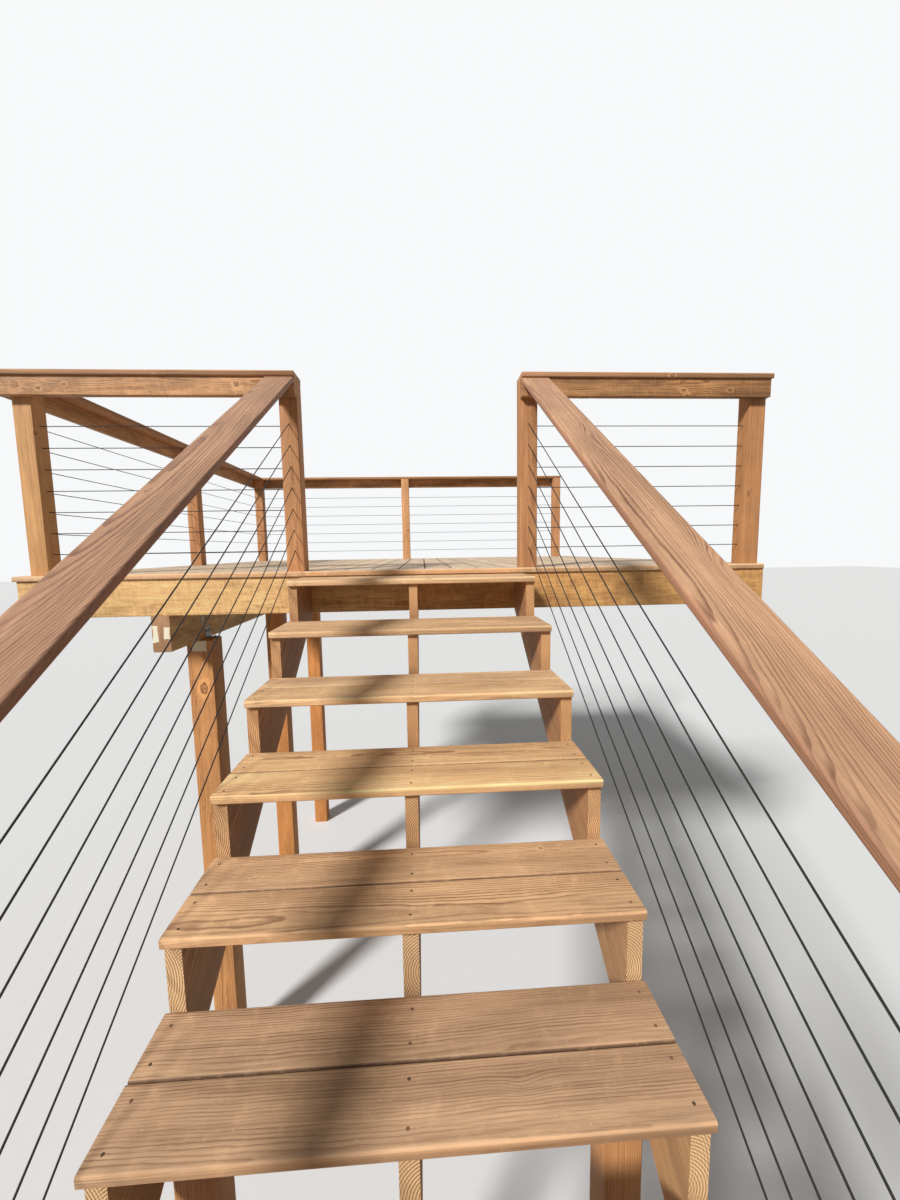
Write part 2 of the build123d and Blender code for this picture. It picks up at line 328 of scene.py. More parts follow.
    fibre = stretched(10, 620, 2.0, 0.6)
    streaks = stretched(2.0, 85, 2.0, 0.6)
    cloud = stretched(2.4, 8, 2.0, 0.6)
    colour = s.mix(late_share, early, late)
    colour = s.tinge(colour, late, streaks, 0.36, 0.74, streak)
    colour = s.tinge(colour, lighter(early, 1.22), streaks, 0.44, 0.24, 0.35)
    colour = s.tinge(colour, lighter(late, 0.5), fibre, 0.4, 0.72, 0.30)

    # Rounded edges take the stain differently; the normal tells where they are
    normal = s.add("ShaderNodeNewGeometry").outputs["Normal"]
    facing_end, facing_depth = (s.math("ABSOLUTE", s.vector("DOT_PRODUCT", normal, axis))
                                for axis in (grain[0], grain[2]))
    edge_colour = s.mix(s.times(late_share, 0.8), edge, lighter(edge, 0.6))
    edge_colour = s.tinge(edge_colour, lighter(edge, 0.72), streaks, 0.5, 0.7, 0.4)
    if painted_shade_under:
        # Painted shade: the lower part of a board's edge is darker
        edge_colour = s.tinge(edge_colour, lighter(late, 0.45), depth, 0.001, -0.011, painted_shade_under)
    colour = s.tinge(colour, edge_colour, facing_depth, 0.985, 0.75, 0.9)
    # Joints are darker: partly dirt, partly painted shade in the gap and on its rounded edges
    if joints:
        axis, first, step, half_width = joints
        off_joint = s.math("PINGPONG", s.math("SUBTRACT", spot[axis], first), step / 2)
        colour = s.tinge(colour, lighter(late, 0.35), off_joint,
                         *(half_width + past for past in JOINT_DIRT_AND_SHADE), 0.85)

    if worn:
        colour = s.tinge(colour, lighter(early, 1.3), s.noise(local, 30, 3.0, 0.7), 0.50, 0.74, worn)
    if specks:
        speck = s.noise(s.vector("ADD", local, (5, 2, 9)), 170, 0.0)
        colour = s.tinge(colour, SPECK, speck, 0.855, 0.875, specks)

    knot_rings = s.fade(s.math("FRACT", s.times(knot_near, 2.6)), 0.2, 0.8)
    heart = s.mix(knot_rings, lighter(early, 0.9), lighter(late, 1.1))
    heart = s.tinge(heart, lighter(late, 0.4), knot_near, 0.45, 0.12)
    colour = s.mix(s.times(knot_halo, halo), colour, lighter(early, 1.4))
    colour = s.mix(s.times(knot, 0.85), colour, heart)
    knot_rim = s.times(knot_rim, s.fade(lump, 0.7, 1.2, 0.5, 0.95))
    colour = s.mix(knot_rim, colour, lighter(late, 0.3))
    height = s.math("MULTIPLY_ADD", fibre, 0.5, s.times(late_share, 0.4))

    if saw:
        # Saw marks run nearly square to the grain and break into dashes
        lean = s.math("MULTIPLY_ADD", across, 0.12, shifted)
        kerf = s.combine(s.times(lean, 62), s.times(across, 13), s.times(depth, 13))
        kerf = s.noise(kerf, 1.0, 3.0, 0.75)
        dash = stretched(12, 85, 3.0, 0.7)
        patch = stretched(9, 24, 2.0, 0.6)
        marks = s.times(s.fade(kerf, 0.42, 0.64, 0.2, 1.0), s.fade(dash, 0.42, 0.62, 0.1, 1.0))
        marks = s.times(marks, s.fade(patch, 0.36, 0.60, 0.4, 1.15))
        colour = s.tinge(colour, lighter(early, 1.3), patch, 0.48, 0.28, saw * 0.8)
        colour = s.mix(s.times(marks, saw), colour, lighter(late, 0.8))
        colour = s.tinge(colour, lighter(early, 1.25), kerf, 0.47, 0.28, saw * 0.7)
        colour = s.tinge(colour, lighter(early, 1.25), dash, 0.46, 0.30, saw * 0.6)
        height = s.math("MULTIPLY_ADD", marks, -0.8 * saw, height)

    # Sawn ends show each ring
    end_band = s.ridge(s.math("FRACT", s.math("DIVIDE", true_radius, ring)), (0.30, 0.75), (1.0, 0.9))
    end_colour = s.mix(s.times(end_band, 0.9), lighter(cut or early, 1.15), lighter(late, 0.85))
    end_colour = s.tinge(end_colour, lighter(late, 0.7), s.noise(local, 1300, 1.0), 0.4, 0.7, 0.3)
    colour = s.tinge(colour, end_colour, facing_end, 0.30, 0.5)

    # Blotches, and each board's own tint; on a few boards the tint is painted shade
    shade = s.math("MULTIPLY_ADD", more_luck[1], 0.18, 0.91)
    shade = s.times(s.fade(cloud, 0.28, 0.74, 1 - blotch, 1 + blotch), shade)
    colour = s.vector("SCALE", colour, Scale=shade)
    tints = [s.mix(more_luck[2], (1.03, 0.99, 0.94), (0.98, 1.0, 1.04)), s.attribute("tint", "Vector")]
    if deeper:
        axis, start, end, tint = deeper
        tints.append(s.tinge((1, 1, 1), tint, spot[axis], start, end))
    for tint in tints:
        colour = s.vector("MULTIPLY", colour, tint)
    colour = s.vector("MINIMUM", colour, BRIGHTEST)

    for low, high in bare:
        rag = s.times(centred(s.noise(place, RAG_SCALE, 1.0)), RAG_WIDTH)
        inside = 1.0
        for value, start, end in zip(spot, low, high):
            if end - start > RAG_ROOM:
                value = s.math("ADD", value, rag)
            rise, fall = (start - RIM, start + RIM), (end + RIM, end - RIM)
            inside = s.times(inside, s.ridge(value, rise, fall))
        raw = s.mix(s.times(late_share, 0.35), BARE_WOOD, lighter(BARE_WOOD, 0.7))
        colour = s.mix(inside, colour, raw)

    return s.paint({"Base Color": colour, "Roughness": s.fade(fibre, 0.2, 0.8, 0.54, 0.76),
                    "Specular IOR Level": 0.3, "Normal": s.bump(height, 0.55, 0.0012)})


# Node groups for the modifiers

MERGE_WITHIN = 0.00001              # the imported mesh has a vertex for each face's corner
ALONG_THE_GRAIN = 0.97              # cosine past which an edge runs with the grain
CUT_EASING = 0.2                    # share of the easing that a sawn end gets
EASED_EDGE = 0.012                  # edges shorter than this stay sharp
EASED_ANGLE, SMOOTH_ANGLE = math.radians(40), math.radians(34)


def geometry_group(name, *others):
    """An empty group that takes a mesh and the others; its nodes, and what its inputs bring."""
    group = bpy.data.node_groups.new(name, "GeometryNodeTree")
    for label, kind in (("Geometry", "Geometry"), *others):
        group.interface.new_socket(name=label, in_out="INPUT", socket_type="NodeSocket" + kind)
    group.interface.new_socket(name="Geometry", in_out="OUTPUT", socket_type="NodeSocketGeometry")
    g = Nodes(group)
    return g, g.add("NodeGroupInput").outputs


def board_facts():
    """Store which board a point is on, its middle and tint, and how far each edge is eased."""
    g, given = geometry_group("board_facts", ("Seed", "Float"), ("Grain", "Vector"), ("Tint", "Vector"))
    inputs = {"Geometry": given["Geometry"], "Distance": MERGE_WITHIN}
    mesh = g.add("GeometryNodeMergeByDistance", inputs)
    board = g.add("GeometryNodeInputMeshIsland").outputs["Island Index"]

    def total(value, kind):
        """Sum of a value over the points of a board."""
        field = g.add("GeometryNodeAccumulateField", {0: value, "Group ID": board}, data_type=kind)
        return field.outputs["Total"]

    position = g.add("GeometryNodeInputPosition").outputs[0]
    one_share = g.math("DIVIDE", 1, total(1, "FLOAT"))
    middle = g.vector("SCALE", total(position, "FLOAT_VECTOR"), Scale=one_share)

    # Long edges of the grain are eased, sawn ends nearly sharp
    ends = g.add("GeometryNodeInputMeshEdgeVertices").outputs
    side = g.vector("SUBTRACT", ends["Position 1"], ends["Position 2"])
    aim = g.vector("DOT_PRODUCT", g.vector("NORMALIZE", side), given["Grain"])
    with_grain = g.math("GREATER_THAN", g.math("ABSOLUTE", aim), ALONG_THE_GRAIN)
    easing = g.add("ShaderNodeMapRange", {"Value": with_grain, "To Min": CUT_EASING}).outputs[0]
    angle = g.add("GeometryNodeInputMeshEdgeAngle").outputs["Unsigned Angle"]
    sharp = g.math("GREATER_THAN", angle, EASED_ANGLE)
    long = g.math("GREATER_THAN", g.vector("LENGTH", side), EASED_EDGE)
    easing = g.times(g.times(sharp, long), easing)

    for name, kind, domain, value in (
        ("board_middle", "FLOAT_VECTOR", "POINT", middle),
        ("board", "FLOAT", "POINT", g.math("ADD", board, given["Seed"])),
        ("tint", "FLOAT_VECTOR", "POINT", given["Tint"]),
        ("bevel_weight_edge", "FLOAT", "EDGE", easing),
    ):
        inputs = {"Geometry": mesh.outputs[0], "Name": name, "Value": value}
        mesh = g.add("GeometryNodeStoreNamedAttribute", inputs, data_type=kind, domain=domain)
    g.add("NodeGroupOutput", {0: mesh.outputs[0]})
    return g.tree


def smooth_by_angle():
    """Shade smooth but for the edges that turn more than SMOOTH_ANGLE."""
    g, given = geometry_group("smooth_by_angle")
    faces = g.add("GeometryNodeSetShadeSmooth", {"Geometry": given[0]}).outputs[0]
    angle = g.add("GeometryNodeInputMeshEdgeAngle").outputs["Unsigned Angle"]
    sharp = g.add("FunctionNodeCompare", {0: angle, 1: SMOOTH_ANGLE}, data_type="FLOAT",
                  operation="GREATER_THAN").outputs[0]
    edges = g.add("GeometryNodeSetShadeSmooth",
                  {"Geometry": faces, "Selection": sharp, "Shade Smooth": False}, domain="EDGE")
    g.add("NodeGroupOutput", {0: edges.outputs[0]})
    return g.tree


FACTS = board_facts()
FACT_SOCKETS = {item.name: item.identifier for item in FACTS.interface.items_tree
                if item.in_out == "INPUT"}
SMOOTH = smooth_by_angle()
MOST_BOARDS = 50                    # of one node: the room between two nodes' board numbers
MOST_SEEDS = 900                    # first board numbers that a node can draw from


def dress(name, material, grain, easing):
    """Give a node its timber, eased edges and the facts that the timber reads."""
    piece = nodes[name]
    piece.data.materials.clear()
    piece.data.materials.append(material)
    facts = piece.modifiers.new("facts", "NODES")
    facts.node_group = FACTS
    facts[FACT_SOCKETS["Seed"]] = float(dice.randint(1, MOST_SEEDS) * MOST_BOARDS)
    facts[FACT_SOCKETS["Grain"]] = tuple(grain[0])
    facts[FACT_SOCKETS["Tint"]] = TINTS.get(name, (1, 1, 1))
    bevel = piece.modifiers.new("easing", "BEVEL")
    bevel.width = easing
    bevel.segments = 3
    bevel.limit_method = "WEIGHT"
    bevel.use_clamp_overlap = False
    smooth = piece.modifiers.new("smooth", "NODES")
    smooth.node_group = SMOOTH


# Finishes

BOARD_GAP = 0.003
DECK_JOINT = 0.004                  # half the width of the dirt and painted shade in a joint of the deck

TREAD = dict(early=(0.760, 0.465, 0.250), late=(0.300, 0.150, 0.078), edge=(0.840, 0.490, 0.252),
             pith=(0.10, 0.05), knots=0.03, worn=0.25, specks=0.7, ring=0.0056, contrast=1.22,
             band=(0.42, 0.86), wavy=1.7, painted_shade_under=0.40, blotch=0.20, figure=(-3.22, -3.10, 1.0, 0.6))
DECKING = dict(early=(0.810, 0.630, 0.445), late=(0.470, 0.320, 0.200), edge=(0.800, 0.450, 0.215),
               knots=0.03, worn=0.35, specks=0.5, contrast=0.6, streak=0.2, painted_shade_under=0.3)
HANDRAIL = dict(early=(0.600, 0.350, 0.200), late=(0.175, 0.080, 0.046), edge=(0.430, 0.220, 0.130),
                pith=(0.07, 0.05), ring=0.0043, band=(0.42, 0.86), wander=0.08, wavy=1.7, knots=0.03,
                worn=0.12, contrast=1.05, figure=(-4.2, -2.4, 1.9, 0.7), halo=0.1)
CAP = dict(early=(0.590, 0.325, 0.165), late=(0.310, 0.140, 0.066), edge=(0.560, 0.290, 0.140),
           knots=0.10, painted_shade_under=0.4)
RAIL_EDGE = dict(early=(0.650, 0.362, 0.181), late=(0.250, 0.112, 0.045), edge=(0.500, 0.270, 0.125),
                 knots=0.16, ring=0.0050, contrast=1.1, streak=0.5, saw=0.36, blotch=0.34, wavy=1.5)
POST = dict(early=(0.650, 0.320, 0.138), late=(0.330, 0.132, 0.052), edge=(0.540, 0.260, 0.108),
            pith=(0.03, 0.04), knots=0.06, contrast=0.8, saw=0.16, wavy=1.2, halo=0.15)
SUPPORT = dict(early=(0.680, 0.335, 0.130), late=(0.370, 0.150, 0.055), edge=(0.560, 0.265, 0.100),
               pith=(0.04, 0.05), knots=0.06, contrast=0.8, saw=0.14, wavy=1.2)
FRAMING = dict(early=(0.870, 0.550, 0.245), late=(0.430, 0.220, 0.080), edge=(0.780, 0.460, 0.190),
               cut=(0.500, 0.285, 0.165), pith=(0.06, 0.08), knots=0.04, contrast=0.55, saw=0.62,
               blotch=0.22)
STRINGER = dict(early=(0.600, 0.360, 0.170), late=(0.290, 0.135, 0.055), edge=(0.520, 0.290, 0.130),
                pith=(0.05, 0.09), knots=0.04, saw=0.2, cut=(0.820, 0.550, 0.290), ring=0.0058)

# Knots that can be told apart: place, half width, and None where the heart shows or the swirl
RAIL_BOARD_KNOTS = (((-0.471, -1.700, 0.998), 0.0065, None), ((-0.229, -1.700, 1.001), 0.0060, None),
                    ((-0.576, -1.700, 1.017), 0.0030, None), ((-3.591, -1.700, 0.999), 0.0060, None),
                    ((-3.474, -1.700, 1.016), 0.0050, None),
                    ((-3.520, -1.700, 0.986), 0.0080, (2.5, 0.4)),
                    ((-3.650, -1.700, 1.020), 0.0120, (2.5, 0.4)))
CAP_KNOTS = (((-0.538, -1.712, 1.058), 0.006, None),)
BEAM_POST_KNOTS = (((-3.072, -1.403, -0.553), 0.0165, None),
                   ((-3.069, -1.403, -0.795), 0.010, (1.7, 0.6)))
POST_KNOTS = (((-0.077, -1.662, 0.487), 0.008, None), ((-3.658, -1.662, 0.803), 0.005, None))
HANDRAIL_KNOTS = (((-1.188, -3.149, 0.168), 0.0130, (7.0, 0.28)),
                  ((-1.230, -2.453, 0.595), 0.0120, (6.0, 0.20)),
                  ((-1.151, -2.650, 0.470), 0.0110, (-5.0, 0.18)),
                  ((-1.226, -2.924, 0.306), 0.0025, None), ((-2.524, -2.806, 0.379), 0.0030, None))
TREAD_KNOTS = (((-1.639, -3.301, -0.816), 0.010, (1.7, 0.6)),)

# Boards that took the stain differently from their kind; the darker tints of left_handrail and tread_06
# are painted shade
TINTS = {"front_corner_post": (1.22, 1.36, 1.32), "back_middle_post": (1.10, 1.20, 1.26),
         "beam_posts": (1.06, 1.04, 1.0), "left_handrail": (0.90, 0.88, 0.91),
         "tread_01": (1.33, 1.41, 1.43), "tread_02": (1.24, 1.30, 1.30), "tread_03": (1.38, 1.48, 1.50),
         "tread_04": (1.34, 1.40, 1.34), "tread_05": (1.16, 1.17, 1.15), "tread_06": (0.82, 0.84, 0.88)}
for number in range(7, 18):
    TINTS[f"tread_{number:02d}"] = (1.12, 1.14, 1.13)

# Patches that the stain missed, on the front of the beam and of its first post
PATCH_DEPTH = 0.002                 # to both sides of the face
POST_PATCH, POST_PATCH_DROP = (0.030, 0.112), 0.060
beam_low, beam_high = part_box("beam_inner_ply")
post_low, post_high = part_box("beam_posts")
beam_front = beam_low.y - PATCH_DEPTH
bare_beam = []
for name, from_left, from_right, bottom, top in (
    ("beam_outer_ply", 0.003, 0.008, 0.132, 0.048), ("beam_inner_ply", 0.007, 0.002, 0.116, 0.058),
):
    low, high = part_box(name)
    bare_beam.append(((low.x + from_left, beam_front, high.z - bottom),
                      (high.x - from_right, low.y + PATCH_DEPTH, high.z - top)))
bare_post = [((post_low.x + POST_PATCH[0], post_low.y - PATCH_DEPTH, post_high.z - POST_PATCH_DROP),
              (post_low.x + POST_PATCH[1], post_low.y + PATCH_DEPTH, post_high.z))]

cap_wood_x = timber("cap_wood_x", ALONG_X, **CAP, placed=CAP_KNOTS)
cap_wood_y = timber("cap_wood_y", ALONG_Y, **CAP)
edge_wood_x = timber("edge_wood_x", ON_EDGE_X, **RAIL_EDGE, placed=RAIL_BOARD_KNOTS,
                     deeper=(X, -2.2, -1.4, (0.86, 0.80, 0.70)))
edge_wood_y = timber("edge_wood_y", ON_EDGE_Y, **RAIL_EDGE)
rim_wood = timber("rim_wood", ON_EDGE_X, **FRAMING, deeper=(X, -2.2, -1.4, (0.84, 0.72, 0.60)))
framing_x = timber("framing_x", ON_EDGE_X, **FRAMING)
framing_y = timber("framing_y", ON_EDGE_Y, **FRAMING)
beam_wood = timber("beam_wood", ON_EDGE_Y, **FRAMING, bare=bare_beam)
tread_front, tread_back = span("tread_01", Y)
board_step = (tread_back - tread_front + BOARD_GAP) / 2
tread_wood = timber("tread_wood", ALONG_X, **TREAD, placed=TREAD_KNOTS,
                    joints=(Y, (tread_front + tread_back) / 2, tread_run, BOARD_GAP / 2))
deck_wood = timber("deck_wood", ALONG_Y, **DECKING,
                   joints=(X, span("deck_boards", X)[0] - BOARD_GAP / 2, board_step, DECK_JOINT))
border_wood = timber("border_wood", ALONG_X, **DECKING)
handrail_wood = timber("handrail_wood", GRAIN_HANDRAIL, **HANDRAIL, placed=HANDRAIL_KNOTS)
post_wood = timber("post_wood", ALONG_Z, **POST, placed=POST_KNOTS)
support_wood = timber("support_wood", ALONG_Z, **SUPPORT)
beam_post_wood = timber("beam_post_wood", ALONG_Z, **SUPPORT, bare=bare_post, placed=BEAM_POST_KNOTS,
                        deeper=(Y, -1.2, -0.9, (1.06, 0.93, 0.76)))
# The stringers' upper parts get a darker, more orange tint: partly the stain's colour, partly painted
# shade
stringer_wood = timber("stringer_wood", GRAIN_STRINGER, **STRINGER,
                       deeper=(Y, -3.2, -2.6, (0.88, 0.73, 0.62)))

# Easing of the long edges: milled boards are rounded already, sawn lumber is not
MILLED, TWO_BY, FOUR_BY, SIX_BY = 0.0008, 0.003, 0.005, 0.006
looks = {
    "front_caps": (cap_wood_x, ALONG_X, MILLED), "back_cap": (cap_wood_x, ALONG_X, MILLED),
    "side_cap": (cap_wood_y, ALONG_Y, MILLED),
    "left_handrail": (handrail_wood, GRAIN_HANDRAIL, MILLED),
    "right_handrail": (handrail_wood, GRAIN_HANDRAIL, MILLED),
    "deck_boards": (deck_wood, ALONG_Y, MILLED), "deck_border_boards": (border_wood, ALONG_X, MILLED),
    "front_rail_boards": (edge_wood_x, ON_EDGE_X, TWO_BY),
    "back_rail_board": (edge_wood_x, ON_EDGE_X, TWO_BY),
    "side_rail_board": (edge_wood_y, ON_EDGE_Y, TWO_BY),
    "front_rim": (rim_wood, ON_EDGE_X, TWO_BY), "back_rim": (framing_x, ON_EDGE_X, TWO_BY),
    "joists": (framing_x, ON_EDGE_X, TWO_BY), "stair_crossbeam": (framing_x, ON_EDGE_X, TWO_BY),
    "outer_rim": (framing_y, ON_EDGE_Y, TWO_BY), "wall_ledger": (framing_y, ON_EDGE_Y, TWO_BY),
    "beam_outer_ply": (beam_wood, ON_EDGE_Y, TWO_BY), "beam_inner_ply": (beam_wood, ON_EDGE_Y, TWO_BY),
    "beam_spacer": (framing_y, ON_EDGE_Y, MILLED),
    "beam_posts": (beam_post_wood, ALONG_Z, SIX_BY), "stair_posts": (support_wood, ALONG_Z, FOUR_BY),
}
for name in nodes:
    if name.startswith("tread_"):
        looks[name] = (tread_wood, ALONG_X, MILLED)
    elif name.endswith("stringer"):
        looks[name] = (stringer_wood, GRAIN_STRINGER, TWO_BY)
    elif name.endswith("newels") or (name.endswith("_post") and name not in looks):
        looks[name] = (post_wood, ALONG_Z, FOUR_BY)
for name in sorted(looks):
    dress(name, *looks[name])


# Cables

CABLE_RADIUS = 0.002
CABLE_SIDES = 12
STRAND_COUNT, LAY_LENGTH = 6, 0.032     # a strand winds round once in the lay length
WIRE_COUNT, WIRE_LAY = 19, 0.004        # wires seen round the rope, and the length that one takes


def wire_rope():
    """Dulled stainless rope: strands wound round it, read from the tube's own length and angle."""
    s = Shader("wire_rope")
    uv = s.separate(s.add("ShaderNodeTexCoord").outputs["UV"])
    wound = s.math("DIVIDE", uv[1], LAY_LENGTH / STRAND_COUNT)
    wound = s.math("MULTIPLY_ADD", uv[0], STRAND_COUNT, wound)
    strand = s.math("ABSOLUTE", s.math("SINE", s.times(wound, math.pi)))
    wires = s.math("SUBTRACT", s.times(uv[0], WIRE_COUNT), s.math("DIVIDE", uv[1], WIRE_LAY))
    wire = s.math("ABSOLUTE", s.math("SINE", s.times(wires, math.pi)))
    height = s.math("MULTIPLY_ADD", wire, 0.25, strand)
    # The grooves between strands are darker: painted shade
    colour = s.tinge((0.004, 0.004, 0.004), (0.032, 0.030, 0.028), strand, 0.0, 0.55)
    return s.paint({"Base Color": colour, "Metallic": 0.1, "Roughness": 0.65, "Specular IOR Level": 0.3,
                    "Normal": s.bump(height, 0.9, 0.0006)})


def islands(mesh):
    """Vertex positions of each separate solid of a mesh."""
    keys = [tuple(round(value, 5) for value in vertex.co) for vertex in mesh.vertices]
    points = list(dict.fromkeys(keys))
    index = {point: k for k, point in enumerate(points)}
    head = list(range(len(points)))

    def top(item):
        while head[item] != item:
            head[item] = head[head[item]]
            item = head[item]
        return item

    for edge in mesh.edges:
        a, b = (top(index[keys[v]]) for v in edge.vertices)
        head[max(a, b)] = min(a, b)
    groups = {}
    for k, point in enumerate(points):
        groups.setdefault(top(k), []).append(Vector(point))
    return [groups[key] for key in sorted(groups)]


def cable_ends(points):
    """Middles of a straight bar's two ends."""
    axis = max(range(3), key=lambda k: max(p[k] for p in points) - min(p[k] for p in points))
    ordered = sorted(points, key=lambda p: p[axis])
    half = len(ordered) // 2
    low, high = ordered[:half], ordered[half:]
    return sum(low, Vector()) / len(low), sum(high, Vector()) / len(high)


def square_to(direction):
    """Two unit vectors square to a direction and to each other."""
    across = direction.orthogonal().normalized()
    return across, direction.cross(across)


def quads_between(low, high, count):
    """Faces between two rings of points, which begin at low and at high."""
    steps = [(k, (k + 1) % count) for k in range(count)]
    return [(low + k, low + n, high + n, high + k) for k, n in steps]


def tube_mesh(name, lines, radius, sides):
    """Round bars along lines, with a UV of turn and length in metres."""
    vertices, faces, corners = [], [], []
    for start, end in lines:
        across, up = square_to((end - start).normalized())
        base, length = len(vertices), (end - start).length
        for centre in (start, end):
            for k in range(sides):
                angle = 2 * math.pi * k / sides
                vertices.append(centre + across * math.cos(angle) * radius
                                + up * math.sin(angle) * radius)
        faces += quads_between(base, base + sides, sides)
        for k in range(sides):
            low, high = k / sides, (k + 1) / sides
            corners.append(((low, 0), (high, 0), (high, length), (low, length)))
        faces.append(tuple(base + k for k in reversed(range(sides))))
        faces.append(tuple(base + sides + k for k in range(sides)))
        corners += [((0, 0),) * sides] * 2
    mesh = bpy.data.meshes.new(name)
    mesh.from_pydata(vertices, [], faces)
    layer = mesh.uv_layers.new(name="turn_and_length")
    for polygon, places in zip(mesh.polygons, corners):
        polygon.use_smooth = len(places) == 4
        for loop, place in zip(polygon.loop_indices, places):
            layer.data[loop].uv = place
    return mesh


def add_piece(name, mesh, material):
    piece = bpy.data.objects.new(name, mesh)
    bpy.context.scene.collection.objects.link(piece)
    mesh.materials.append(material)
    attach(piece, "root")
    return piece


rope = wire_rope()
for name in sorted(nodes):
    if name.endswith("cables"):
        lines = [cable_ends(points) for points in islands(nodes[name].data)]
        tubes = tube_mesh(name + "_tubes", lines, CABLE_RADIUS, CABLE_SIDES)
        piece = add_piece(name.replace("cables", "wire_ropes"), tubes, rope)
        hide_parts(name)


# Screws, ties and brackets

class Parts:
    """Vertices and faces of one mesh, gathered shape by shape."""

    def __init__(self):
        self.points, self.faces = [], []

    def add(self, points, faces):
        base = len(self.points)
        self.points += points
        self.faces += [tuple(base + k for k in face) for face in faces]

    def mesh(self, name):
        mesh = bpy.data.meshes.new(name)
        mesh.from_pydata(self.points, [], self.faces)
        shape = bmesh.new()
        shape.from_mesh(mesh)
        bmesh.ops.recalc_face_normals(shape, faces=shape.faces)
        shape.to_mesh(mesh)
        shape.free()
        return mesh


def boxes_of(name):
    """Low and high corner of each separate solid of a node, in order of their lowest corners."""
    corners = [[Vector(pick(p[k] for p in points) for k in range(3)) for pick in (min, max)]
               for points in islands(nodes[name].data)]
    return sorted(corners, key=lambda pair: tuple(round(value, 3) for value in pair[0]))


SCREW_RADIUS, SCREW_POINTS = 0.0028, 12
SINK_POINTS, NAIL_POINTS, BOLT_POINTS = 16, 10, 24
# Radius and height of each ring, and how deep every second point is cut in
SCREW_PROFILE = [(share * SCREW_RADIUS, height, cut) for share, height, cut in (
    (1.0, 0.0, 0), (0.95, 0.0006, 0), (0.56, 0.0007, 0), (0.50, 0.0006, 0.32), (0.44, 0.0001, 0.32))]
SINK_PROFILE = ((1.30 * SCREW_RADIUS, 0.00004, 0), (0.98 * SCREW_RADIUS, 0.00016, 0))
NAIL_PROFILE = ((0.0036, 0.0, 0), (0.0034, 0.0009, 0), (0.0020, 0.0014, 0))
# Radius and height of each ring of a washer and its bolt, and whether it is a hexagon
BOLT_PROFILE = ((0.0110, 0.0, False), (0.0110, 0.0018, False), (0.0070, 0.0019, True),
                (0.0070, 0.0066, True), (0.0056, 0.0074, True))


def lobed(cut, k):
    return 1 - cut * (k % 2)


def hexagonal(flats, k):
    angle = 2 * math.pi * k / BOLT_POINTS % (math.pi / 3)
    return math.cos(math.pi / 6) / math.cos(angle - math.pi / 6) if flats else 1


def add_turned(parts, place, normal, profile, count, spin, reach=lobed, closed=True):
    """Rings of points about a normal; reach gives the share of a ring's radius that a point has."""
    across, up = square_to(normal)
    points, faces = [], []
    for radius, height, shape in profile:
        for k in range(count):
            angle = spin + 2 * math.pi * k / count
            outward = across * math.cos(angle) + up * math.sin(angle)
            points.append(place + outward * (radius * reach(shape, k)) + normal * height)
    for base in range(count, len(points), count):
        faces += quads_between(base - count, base, count)
    if closed:
        faces.append(tuple(range(len(points) - count, len(points))))
    parts.add(points, faces)


def add_screw(place, normal):
    """A star-drive head, in a flat dark ring round it: crushed fibres, and painted shade of the
    countersink.
    """
    spin = dice.uniform(0, math.pi)
    add_turned(heads, place, normal, SCREW_PROFILE, SCREW_POINTS, spin)
    add_turned(sinks, place, normal, SINK_PROFILE, SINK_POINTS, spin, closed=False)


BEND_RADIUS, BEND_STEPS = 0.003, 4


def add_folded(metal, corner, first, second, width, legs, thickness, ends):
    """A sheet folded at a corner: one leg along each direction, with the bend's radius.

    ends gives the low and high place along the width at the tip of the first leg, the bend
    and the tip of the second leg.
    """
    bend = [math.pi / 2 * step / BEND_STEPS for step in range(BEND_STEPS + 1)]

    def side(inset):
        """The fold's line on the outer face, or a thickness further in."""
        radius = BEND_RADIUS - inset
        curve = [(BEND_RADIUS - radius * math.sin(a), BEND_RADIUS - radius * math.cos(a)) for a in bend]
        return [(legs[0], inset), *curve, (inset, legs[1])]

    spans = [ends[0], *[ends[1]] * len(bend), ends[2]]
    points, faces = [], []
    for outer, inner, reach in zip(side(0.0), side(thickness), spans):
        for x, y in (outer, inner):
            for w in reach:
                points.append(corner + first * x + second * y + width * w)
    last = len(points) - 4
    for i in range(0, last, 4):
        n = i + 4
        faces += [(i, n, n + 1, i + 1), (i + 2, i + 3, n + 3, n + 2),
                  (i, i + 2, n + 2, n), (i + 1, n + 1, n + 3, i + 3)]
    faces += [(0, 1, 3, 2), (last, last + 2, last + 3, last + 1)]
    metal.add(points, faces)


def coated_steel():
    """Screw heads: a dull coating, worn to the metal in spots, some heads more than others."""
    s = Shader("coated_steel")
    place = s.place()
    wear = s.noise(place, 900, 2.0, 0.6)
    coat = s.tinge((0.085, 0.052, 0.030), (0.240, 0.135, 0.075), s.noise(place, 14, 0.0), 0.4, 0.6)
    colour = s.tinge(coat, (0.26, 0.19, 0.12), wear, 0.52, 0.68, 0.7)
    return s.paint({"Base Color": colour, "Metallic": 0.35,
                    "Roughness": s.fade(wear, 0.4, 0.7, 0.6, 0.35)})


def crushed_fibre():
    # A flat dark ring round each screw head: crushed fibres, and painted shade of the countersink
    s = Shader("crushed_fibre")
    colour = s.mix(s.noise(s.place(), 700, 2.0), (0.120, 0.060, 0.030), (0.250, 0.130, 0.065))
    return s.paint({"Base Color": colour, "Roughness": 0.85})


